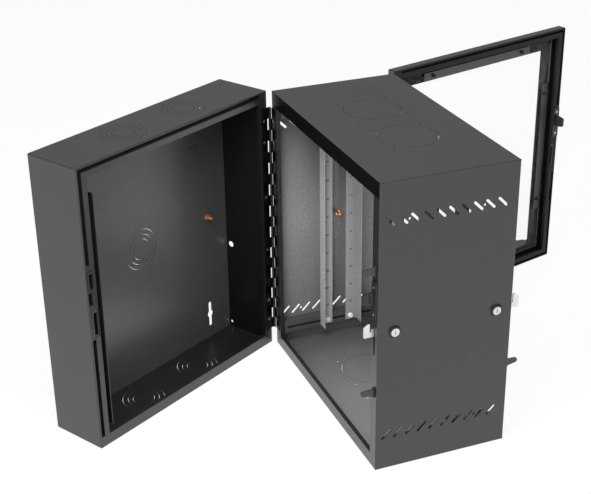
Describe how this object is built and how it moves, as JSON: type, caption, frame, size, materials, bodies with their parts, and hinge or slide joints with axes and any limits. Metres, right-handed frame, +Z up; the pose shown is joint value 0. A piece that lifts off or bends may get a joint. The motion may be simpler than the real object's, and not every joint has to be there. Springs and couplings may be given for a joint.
{
  "type": "swing-out wall mount network cabinet",
  "caption": "Wall mount rack cabinet in three hinged sections: a wall pan, a swing-out centre section with rack rails and a window door, each held by a key lock.",
  "frame": {"origin": "centre of the wall pan's back face", "axes": "+Y into the wall, -Y out to the room, +Z up, +X to the hinge side. Stored with the centre section open 60 degrees and the door open 105 degrees."},
  "size_m": [1.3337, 0.7565, 0.6096],
  "materials": {
    "black_steel": "fine textured black powder coat, satin",
    "hinge_zinc": "bright zinc",
    "hinge_dark": "satin black",
    "bright_fastener": "bright zinc",
    "zinc_plate": "pale zinc",
    "copper_stud": "copper plated",
    "lock_black": "gloss black",
    "lock_chrome": "polished",
    "black_moulding": "satin black",
    "clear_pane": "clear, polished",
    "clamp_steel": "satin dark grey"
  },
  "bodies": {
    "wall_pan": {"rear_pan_back": "black_steel", "rear_pan_top": "black_steel", "rear_pan_bottom": "black_steel", "rear_pan_lock_side": "black_steel", "rear_pan_hinge_side": "black_steel", "rear_hinge_pan_leaf": "hinge_dark", "rear_hinge_pin": "bright_fastener", "rear_hinge_pan_screws": "bright_fastener", "pan_strike_plate": "black_steel", "pan_catch_socket": "black_moulding", "pan_ground_stud": "copper_stud", "pan_ground_nut": "copper_stud"},
    "centre_section": {"centre_catch_socket": "black_moulding", "centre_floor_panel": "black_steel", "centre_ground_nut": "copper_stud", "centre_ground_stud": "copper_stud", "centre_hinge_screws": "bright_fastener", "centre_hinge_side_panel": "black_steel", "centre_lock_side_panel": "black_steel", "centre_top_panel": "black_steel", "front_hinge_centre_leaf": "hinge_zinc", "front_hinge_pin": "bright_fastener", "front_lock_barrel": "lock_black", "guide_fingers_front": "black_steel", "guide_fingers_rear": "black_steel", "lock_nuts": "bright_fastener", "rack_rail_front_hinge_side": "black_steel", "rack_rail_front_lock_side": "black_steel", "rack_rail_rear_hinge_side": "black_steel", "rack_rail_rear_lock_side": "black_steel", "rail_bolts": "bright_fastener", "rail_nuts": "bright_fastener", "rail_track_bottom_hinge_side": "black_steel", "rail_track_bottom_lock_side": "black_steel", "rail_track_top_hinge_side": "black_steel", "rail_track_top_lock_side": "black_steel", "rear_catch": "black_moulding", "rear_catch_screws": "bright_fastener", "rear_hinge_centre_leaf": "hinge_dark", "rear_lock_barrel": "lock_black"},
    "window_door": {"door_frame": "black_steel", "window_pane": "clear_pane", "window_clamp_top": "clamp_steel", "window_clamp_bottom": "clamp_steel", "window_clamp_lock": "clamp_steel", "window_clamp_hinge": "clamp_steel", "window_studs": "bright_fastener", "window_nuts": "black_moulding", "front_hinge_door_leaf": "hinge_zinc", "front_hinge_door_screws": "bright_fastener", "door_strike_plate": "black_steel", "door_catch": "black_moulding", "door_catch_screws": "bright_fastener"},
    "rear_lock": {"rear_lock_plug": "lock_chrome", "rear_lock_hook": "zinc_plate", "rear_hook_screw": "bright_fastener"},
    "front_lock": {"front_lock_plug": "lock_chrome", "front_lock_hook": "zinc_plate", "front_hook_screw": "bright_fastener"}
  },
  "joints": [
    {"name": "body_swing", "type": "hinge", "parent": "wall_pan", "child": "centre_section", "pos_m": [0.2765, -0.133, 0], "axis": [0, 0, 1], "range_deg": [-60, 45]},
    {"name": "door_swing", "type": "hinge", "parent": "centre_section", "child": "window_door", "pos_m": [0.52765, -0.278, 0], "axis": [0, 0, 1], "range_deg": [-105, 45]},
    {"name": "rear_lock_turn", "type": "hinge", "parent": "centre_section", "child": "rear_lock", "pos_m": [0.03523, -0.6259, 0], "axis": [0.5, 0.866, 0], "range_deg": [-90, 0]},
    {"name": "front_lock_turn", "type": "hinge", "parent": "centre_section", "child": "front_lock", "pos_m": [0.22142, -0.7334, 0], "axis": [0.5, 0.866, 0], "range_deg": [0, 90]}
  ]
}
